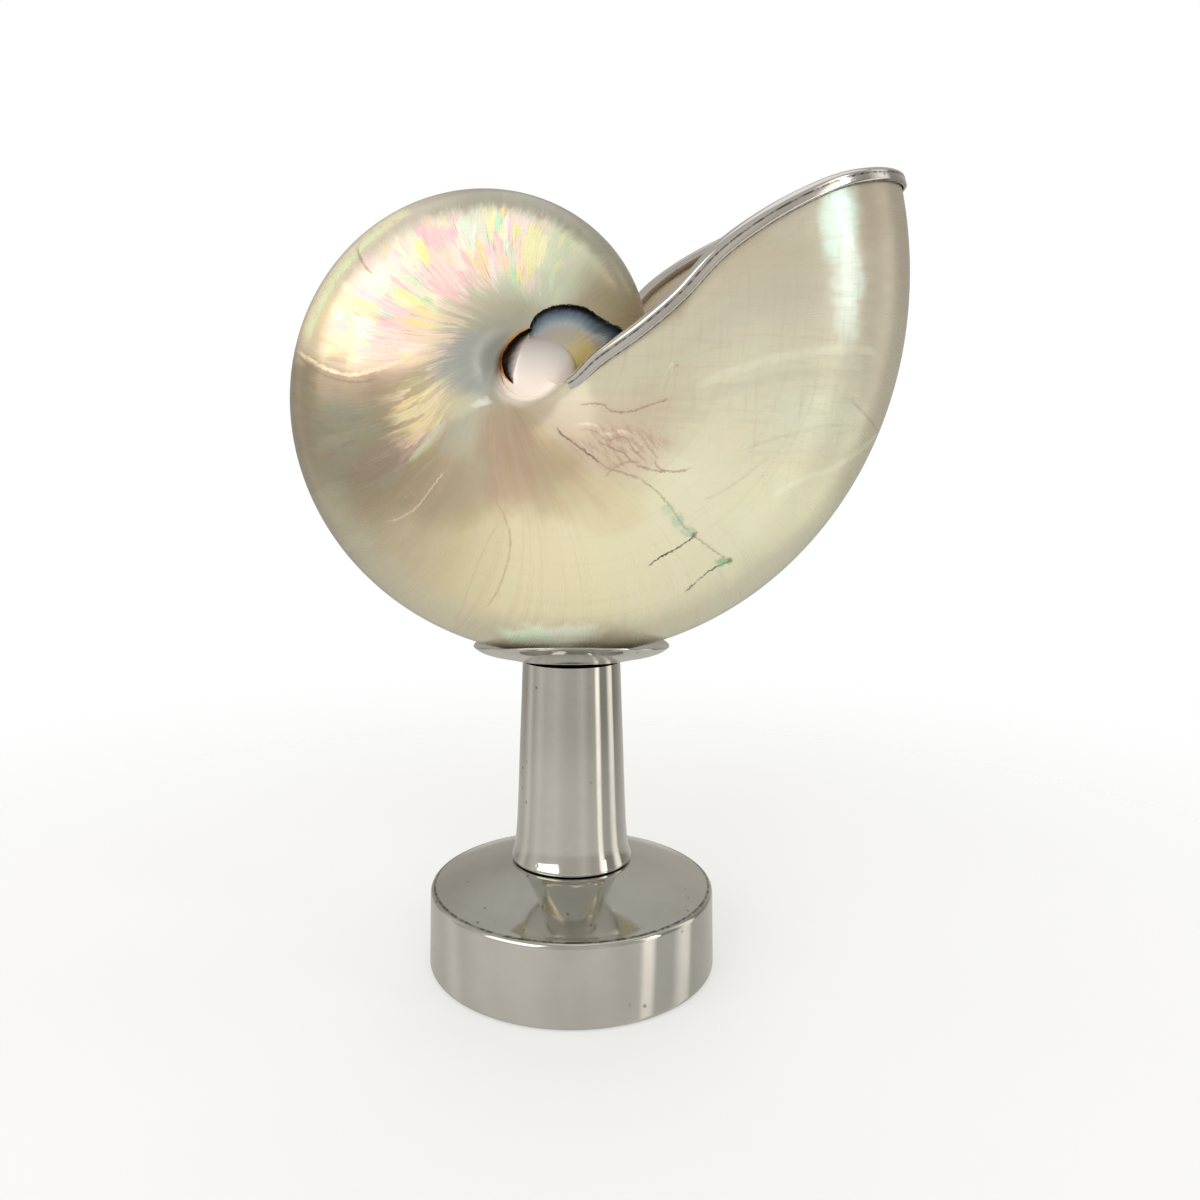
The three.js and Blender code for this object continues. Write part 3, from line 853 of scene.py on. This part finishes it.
def tints_and_painted_light(n, spot, back, rho):
    """The broad tints, with painted highlight and painted reflection in them: three ramps along the spiral,
    then the soft patches.
    """
    x, z, _ = n.split(spot)
    wander = n.split(n.noise(spot, 0.1, 3, 0.6).outputs["Color"])
    broken = n.split(n.noise(n.vector(n.times(back, 0.12), n.times(rho, 3)),
                             2, 3, 0.65).outputs["Color"])
    along = shaken(n, back, broken[0], 9)
    flank = n.ramp(shaken(n, back, broken[0], 4), -366, -4, FLANK_TINTS_AND_HIGHLIGHT)
    keel = n.ramp(along, -366, -8, KEEL_TINTS_AND_REFLECTION)
    inner = n.ramp(along, -366, -10, INNER_TINTS)
    ragged = shaken(n, rho, broken[1], 0.14)
    colour = n.mix(n.scaled(ragged, 0.78, 0.89), flank, keel)
    colour = n.mix(n.scaled(ragged, 0.5, 0.3), colour, inner)
    soft_x, soft_z = shaken(n, x, wander[0], 9), shaken(n, z, wander[1], 9)
    for centre, half_sizes, tint, strength in PATCHES_OF_TINT_AND_LIGHT:
        amount = n.times(patch(n, soft_x, soft_z, centre, half_sizes), strength)
        colour = n.mix(amount, colour, srgb(*tint))
    return colour


def add_glints(n, colour, back, rho):
    """Broken facets of pink, yellow, green and white, drawn out from the umbilicus towards the keel: partly
    the nacre's own colour, partly painted iridescent highlight.
    """
    fray = n.split(n.noise(n.vector(n.times(back, 0.5), n.times(rho, 9)),
                           1, 3, 0.7).outputs["Color"])
    loose = shaken(n, rho, fray[2], 0.24)
    young = n.times(n.scaled(back, -207, -216), n.scaled(back, -334, -296))
    outer = n.times(n.scaled(loose, 0.38, 0.5), n.scaled(loose, 0.88, 0.76))
    later = n.times(n.scaled(back, -164, -182), n.scaled(back, -262, -236))
    near = n.times(n.scaled(loose, 0.28, 0.38), n.scaled(loose, 0.6, 0.46))
    golden = n.times(later, near, 0.65)
    vivid = n.maths("MAXIMUM", n.times(young, outer), golden)
    for wide, tall, strength, seed in ((0.09, 3, 0.75, 0), (0.3, 7.5, 0.85, 5)):
        u = shaken(n, n.times(back, wide), fray[0], 0.9)
        v = shaken(n, n.times(rho, tall), fray[1], 1.3)
        cells = n.add("ShaderNodeTexVoronoi", {"Vector": n.vector(u, v, seed), "Scale": 1,
                                               "Randomness": 1.0})
        pick = n.split(cells.outputs["Color"])
        hue = n.ramp(pick[0], 0, 1, GLINTS)
        hue = n.mix(n.times(golden, 0.8), hue, srgb(240, 226, 150))
        shown = n.scaled(pick[1], 0.3, 0.62, 0, strength)
        faint = n.plus(n.times(vivid, 0.95), 0.04)
        colour = n.mix(n.times(shown, faint), colour, hue)
    streak = n.noise(n.vector(n.times(back, 1.9), n.times(rho, 4)), 1, 3, 0.7)
    grey = n.times(n.scaled(streak.outputs[0], 0.5, 0.7, 0, 0.5), vivid)
    colour = n.mix(grey, colour, srgb(204, 190, 156))
    # Painted highlight: bright streaks among the facets
    bright = n.times(n.scaled(streak.outputs[0], 0.46, 0.3, 0, 0.75), vivid)
    colour = n.mix(bright, colour, srgb(255, 248, 224))
    dash = n.noise(n.vector(n.times(back, 1.1), n.times(rho, 7)), 1, 2, 0.6)
    dark = n.times(n.scaled(dash.outputs[0], 0.6, 0.7), vivid)
    colour = n.mix(n.times(dark, 0.5), colour, srgb(176, 150, 126))
    return colour


def add_fine_lines(n, colour, back, rho, x, z):
    """Growth lines that follow the lip, spiral lines across them, and a woven look by the lip."""
    growth = n.noise(n.vector(n.times(back, 0.7), n.times(rho, 0.9)), 1, 3, 0.55)
    spiral = n.noise(n.vector(n.times(back, 0.012), n.times(rho, 70)), 1, 2)
    woven = n.noise(n.vector(n.times(x, 0.9), n.times(z, 0.09)), 1, 3)
    level = n.noise(n.vector(n.times(x, 0.09), n.times(z, 0.9)), 1, 3)
    old = n.times(n.scaled(back, -120, -60, 1, 0.35), n.scaled(rho, 0.15, 0.4))
    shade = n.times(n.scaled(growth.outputs[0], 0.52, 0.72, 0, 0.14), old)
    colour = n.mix(shade, colour, srgb(172, 152, 128))
    colour = n.mix(n.scaled(spiral.outputs[0], 0.5, 0.75, 0, 0.1), colour, srgb(170, 158, 136))
    young = n.scaled(back, -75, -30, 0, 0.3)
    for lines in (woven, level):
        amount = n.times(n.scaled(lines.outputs[0], 0.5, 0.72), young)
        colour = n.mix(amount, colour, srgb(184, 174, 156))
    return colour, growth.outputs[0]


def add_marks_and_painted_light(n, colour, spot):
    """The cracks, scars, ridge and stains of the near flank, with a painted highlight band and a scar's
    painted shadow, and their height for the bump.
    """
    x, z, y = n.split(spot)
    wander = n.split(n.noise(spot, 1.3, 3, 0.65).outputs["Color"])
    flat = n.vector(shaken(n, x, wander[0], 1.1), shaken(n, z, wander[1], 1.1))
    uneven = n.scaled(n.noise(spot, 0.5, 2, 0.6).outputs[0], 0.3, 0.55, 0.45, 1)
    side = n.scaled(y, 0, -3)
    near = n.times(side, uneven)
    height = 0.0
    for points, half, tint, strength, *rise in MARKS_AND_PAINTED_LIGHT:
        line = n.line(flat, points, half)
        colour = n.mix(n.times(line, near, strength), colour, srgb(*tint))
        if rise:
            height = n.plus(height, n.times(line, side, rise[0]))
    for centre, half_sizes, tint, strength in STAINS:
        oval = patch(n, shaken(n, x, wander[0], 2.6), shaken(n, z, wander[2], 2.6), centre, half_sizes)
        shown = n.times(oval, near, strength)
        colour = n.mix(shown, colour, srgb(*tint))
    hatch = n.noise(n.vector(n.dot(flat, 1.1, 1.1), n.dot(flat, 0.16, -0.16)), 1, 2).outputs[0]
    scarred = n.times(patch(n, x, z, (20, -17), (9, 4)), near,
                      n.scaled(hatch, 0.46, 0.6, 0, 0.6))
    colour = n.mix(scarred, colour, srgb(164, 136, 122))
    return colour, height


def add_umbilicus(n, colour, spot):
    """The pale plug and the blue-grey ledge with its black edge, both with painted shade, and the dark
    crescent fringed orange.
    """
    x, z, y = n.split(spot)
    deep = n.scaled(n.maths("ABSOLUTE", y), 16.6, 16)
    wander = n.split(n.noise(spot, 0.8, 3, 0.6).outputs["Color"])
    dx, dz = n.minus(x, CALLUS_X), n.minus(z, CALLUS_Z)
    radius = n.maths("SQRT", n.plus(n.times(dx, dx), n.times(dz, dz)))
    loose = shaken(n, radius, wander[0], 1)

    # The plug, warmer and paler below and greyer towards its top, which is painted shade on the dome,
    # melting into the flank there
    plug = n.ramp(z, -10, 8, [(-9, (246, 236, 224)), (-3, (236, 224, 214)), (1, (212, 203, 197)),
                              (5, (182, 174, 168)), (8, (160, 154, 146))])
    melt = n.scaled(z, -8, 1, 4.2, 0.5)
    edge = n.minus(loose, CALLUS_RADIUS)
    cover = n.scaled(n.maths("DIVIDE", edge, melt), 1, -0.1)
    cover = n.times(cover, n.scaled(n.maths("ABSOLUTE", y), 19.5, 16.5))
    colour = n.mix(cover, colour, plug)

    # The ledge: its black edge, then blue-grey lightening inwards, partly painted shade under the step;
    # painted shadow darkens its end beside the binding
    angle = n.maths("DEGREES", n.maths("ARCTAN2", dz, dx))
    brink = n.curve(angle, LEDGE_EDGE)
    inside = n.minus(brink, loose)
    first, last = LEDGE_EDGE[0][0], LEDGE_EDGE[-1][0]
    sector = n.times(n.scaled(angle, first, first + 6), n.scaled(angle, last, last - 4))
    sector = n.times(sector, deep)
    band = n.ramp(inside, 0, 10, [(0.2, (18, 18, 20)), (0.8, (38, 46, 56)), (1.6, (78, 96, 112)),
                                  (3, (116, 132, 144)), (4.6, (158, 164, 164)), (6.5, (170, 162, 148)),
                                  (9.5, (178, 170, 156))])
    # Painted shadow: the ledge darker at its end beside the binding
    ledge_shadow = n.times(n.scaled(angle, 50, 30), n.scaled(inside, 5.5, 2, 0, 0.75))
    band = n.mix(ledge_shadow, band, srgb(66, 76, 82))
    straw = n.times(n.scaled(angle, 52, 20), n.scaled(edge, 6.5, 3.5))
    band = n.mix(straw, band, srgb(204, 184, 124))
    plug_side = n.scaled(edge, -1.6, 0.2)
    shown = n.times(n.scaled(inside, -0.25, 0.05), sector, plug_side)
    colour = n.mix(shown, colour, band)

    # The crescent
    turned = n.maths("DEGREES", n.maths("ARCTAN2", dz, n.times(dx, -1)))
    rows = CRESCENT_EDGE[::-1]
    rim = n.curve(turned, [(row[0], row[1]) for row in rows])
    width = n.curve(turned, [(row[0], row[2]) for row in rows])
    within = n.maths("DIVIDE", n.minus(rim, loose), width)
    first, last = rows[0][0], rows[-1][0]
    sector = n.times(n.scaled(turned, first - 4, first + 4), n.scaled(turned, last + 8, last))
    sector = n.times(sector, deep)
    fringe = n.scaled(n.maths("ABSOLUTE", n.plus(within, 0.05)), 0.17, 0.05)
    fringe = n.times(fringe, sector)
    colour = n.mix(fringe, colour, srgb(206, 140, 72))
    inky = n.times(n.scaled(within, 0, 0.06), n.scaled(within, 0.95, 0.25))
    colour = n.mix(n.times(inky, sector), colour, srgb(34, 34, 38))
    return colour


def nacre_material():
    material, n, shader = new_material("nacre")
    growth = n.add("ShaderNodeAttribute", attribute_name="growth").outputs["Vector"]
    spot = n.add("ShaderNodeAttribute", attribute_name="spot").outputs["Vector"]
    back, rho, depth = n.split(growth)
    x, z, _ = n.split(spot)

    colour = tints_and_painted_light(n, spot, back, rho)
    colour = add_glints(n, colour, back, rho)
    colour, growth_lines = add_fine_lines(n, colour, back, rho, x, z)
    colour, marks = add_marks_and_painted_light(n, colour, spot)
    colour = add_umbilicus(n, colour, spot)
    inside = n.times(n.scaled(depth, 0.9, 1.4), n.scaled(back, -160, -100))
    colour = n.mix(inside, colour, srgb(196, 180, 154))

    height = n.times(marks, 0.5)
    broad = n.scaled(rho, 0.3, 0.9, 0, 0.022)
    height = n.plus(height, n.times(growth_lines, broad))
    bump = n.add("ShaderNodeBump", {"Height": height, "Strength": 0.35, "Distance": 0.0006})
    uneven = n.times(n.scaled(growth_lines, 0.3, 0.7, 0, 0.08), n.scaled(rho, 0.35, 0.7))
    n.fill(shader, {
        "Base Color": colour, "Normal": bump.outputs[0], "Roughness": n.plus(uneven, 0.22),
        "Metallic": 0.22, "Coat Weight": 0.35, "Coat Roughness": 0.22,
        "Thin Film Thickness": 420, "Thin Film IOR": 1.5,
    })
    return material


def metal_material(name, tint, roughness, painted_lines):
    """Polished metal with faint polishing waves, clouds, small scattered pits, and painted dark lines of
    shadow and reflection.
    """
    material, n, shader = new_material(name)
    here = n.add("ShaderNodeTexCoord").outputs["Object"]
    cloud = n.noise(here, 60, 4, 0.6).outputs[0]
    pits = n.add("ShaderNodeTexVoronoi", {"Vector": here, "Scale": 300, "Randomness": 1.0})
    patchy = n.scaled(n.noise(here, 70, 2).outputs[0], 0.54, 0.6)
    pitted = n.times(n.scaled(pits.outputs["Distance"], 0.16, 0.07), patchy)
    dull = tuple(0.86 * part for part in tint)
    colour = n.mix(n.scaled(cloud, 0.35, 0.7, 0, 0.6), (*tint, 1), (*dull, 1))
    colour = n.mix(n.times(pitted, 0.6), colour, srgb(104, 84, 66))
    fold = n.add("ShaderNodeAttribute", attribute_name="fold").outputs["Fac"]
    beads = n.scaled(n.noise(here, 900, 2).outputs[0], 0.35, 0.6, 0.35, 1)
    for place_at, half, strength in painted_lines:
        away = n.maths("ABSOLUTE", n.minus(fold, place_at))
        amount = n.times(n.scaled(away, half, half * 0.2, 0, strength), beads)
        colour = n.mix(amount, colour, srgb(52, 46, 44))
    wave = n.noise(here, 24, 2, 0.4).outputs[0]
    height = n.minus(n.times(wave, 0.8), n.times(pitted, 0.25))
    bump = n.add("ShaderNodeBump", {"Height": height, "Strength": 0.1, "Distance": 0.001})
    uneven = n.scaled(cloud, 0.3, 0.7, roughness, roughness + 0.07)
    n.fill(shader, {"Base Color": colour, "Normal": bump.outputs[0], "Roughness": uneven, "Metallic": 1.0})
    return material


# ---------------- floor, light and camera

def floor_piece():
    """A pale floor that fades into the pale background well beyond the object."""
    bpy.ops.mesh.primitive_circle_add(vertices=96, radius=0.6, fill_type="NGON", location=(0, 0, -0.0003))
    floor = bpy.context.object
    floor.name = "floor"
    material, n, shader = new_material("floor")
    here = n.add("ShaderNodeTexCoord").outputs["Object"]
    away = n.add("ShaderNodeVectorMath", {0: here}, operation="LENGTH").outputs["Value"]
    mirrored = n.minus(1.0, n.add("ShaderNodeLightPath").outputs["Is Glossy Ray"])
    solid = n.times(n.scaled(away, 0.4, 0.05), n.scaled(mirrored, 0.0, 1.0, 0.35, 0.6))
    n.fill(shader, {"Alpha": solid, "Base Color": (0.96, 0.96, 0.955, 1), "Roughness": 0.9})
    shader.inputs["Specular IOR Level"].default_value = 0.1
    floor.data.materials.append(material)


def area_light(name, place_at, aim, size, power, colour=(1, 1, 1), shows=True):
    """A soft rectangular light. One that doesn't show leaves no reflection in the polished metal."""
    data = bpy.data.lights.new(name, "AREA")
    data.shape = "RECTANGLE"
    data.size, data.size_y = size
    data.energy = power
    data.color = colour
    light = bpy.data.objects.new(name, data)
    light.location = place_at
    light.rotation_euler = (Vector(aim) - Vector(place_at)).to_track_quat("-Z", "Y").to_euler()
    light.visible_glossy = shows
    bpy.context.scene.collection.objects.link(light)


# The room round the object, by bearing in degrees from the side the camera is on, to the right: what
# the metal mirrors. Two tall windows stand to the right, with dark gaps between them.
ROOM = [
    (-180, 0.42), (-125, 0.38), (-106, 0.7), (-94, 0.46), (-75, 0.66), (-60, 0.56), (-34, 0.62), (-10, 0.5),
    (8, 0.5), (24, 0.6), (40, 0.44), (54, 0.5), (58, 1.5), (64, 1.5), (69, 0.28), (86, 0.3), (96, 1.2),
    (104, 1.2), (109, 0.24), (130, 0.34), (150, 0.5), (180, 0.42),
]


def world_light():
    """A warm grey room with windows to the right; the background itself is plain and pale."""
    world = bpy.data.worlds.new("room")
    world.use_nodes = True
    bpy.context.scene.world = world
    n = Nodes(world.node_tree)
    x, y, z = n.split(n.add("ShaderNodeTexCoord").outputs["Generated"])
    bearing = n.maths("DEGREES", n.maths("ARCTAN2", x, n.times(y, -1.0)))
    walls = [(place_at, (level, level * 0.95, level * 0.86, 1)) for place_at, level in ROOM]
    walls = n.linear_ramp(bearing, -180, 180, walls)
    ceiling = n.mix(n.scaled(z, 0.35, 0.8), walls, (0.5, 0.49, 0.46, 1))
    room = n.mix(n.scaled(z, -0.2, -0.8, 0.0, 0.8), ceiling, (0.5, 0.48, 0.44, 1))
    seen = n.add("ShaderNodeLightPath").outputs["Is Camera Ray"]
    shown = n.mix(seen, room, (1, 1, 1, 1))
    n.fill(world.node_tree.nodes["Background"], {"Color": shown, "Strength": 1.0})


def lights():
    middle = (0, 0, 0.12)
    area_light("fill", (0, -1.3, 0.7), middle, (1.8, 1.4), 10.5, (0.98, 0.99, 1), False)
    area_light("fill_behind", (0, 1.3, 0.8), middle, (1.8, 1.4), 6.5, (0.98, 0.99, 1), False)
    area_light("fill_low", (0, -1.0, 0.03), middle, (1.2, 0.1), 2.2, (0.98, 0.99, 1), False)
    area_light("window_left", (-0.68, -0.66, 0.5), middle, (0.8, 0.7), 2.6, (1, 0.99, 0.97))
    area_light("window_right", (0.8, -0.35, 0.3), middle, (0.06, 0.5), 0.5, (0.9, 1, 0.98))
    area_light("top", (0.1, 0.1, 0.9), middle, (0.7, 0.7), 0.7)


def camera():
    data = bpy.data.cameras.new("camera")
    data.sensor_width = 36.0
    data.lens = 27.75
    data.shift_x = 0.02375
    data.shift_y = -0.0817
    data.clip_start = 0.01
    cam = bpy.data.objects.new("camera", data)
    cam.location = (0, -0.2318, 0.1127)
    cam.rotation_euler = (math.pi / 2, 0, 0)
    bpy.context.scene.collection.objects.link(cam)
    bpy.context.scene.camera = cam


# ---------------- the scene

camera()
floor_piece()
world_light()
lights()

shell = shell_piece()
shell.data.materials.append(nacre_material())
binding = binding_piece()
binding.data.materials.append(metal_material("binding_metal", BINDING_TINT, 0.1, BINDING_PAINTED_DARK_LINES))
stand_metal = metal_material("stand_metal", STAND_TINT, 0.05, BASE_PAINTED_DARK_LINES)
for made in (base_piece(), column_piece(), dish_piece()):
    made.data.materials.append(stand_metal)

bpy.context.scene.view_settings.view_transform = "Standard"
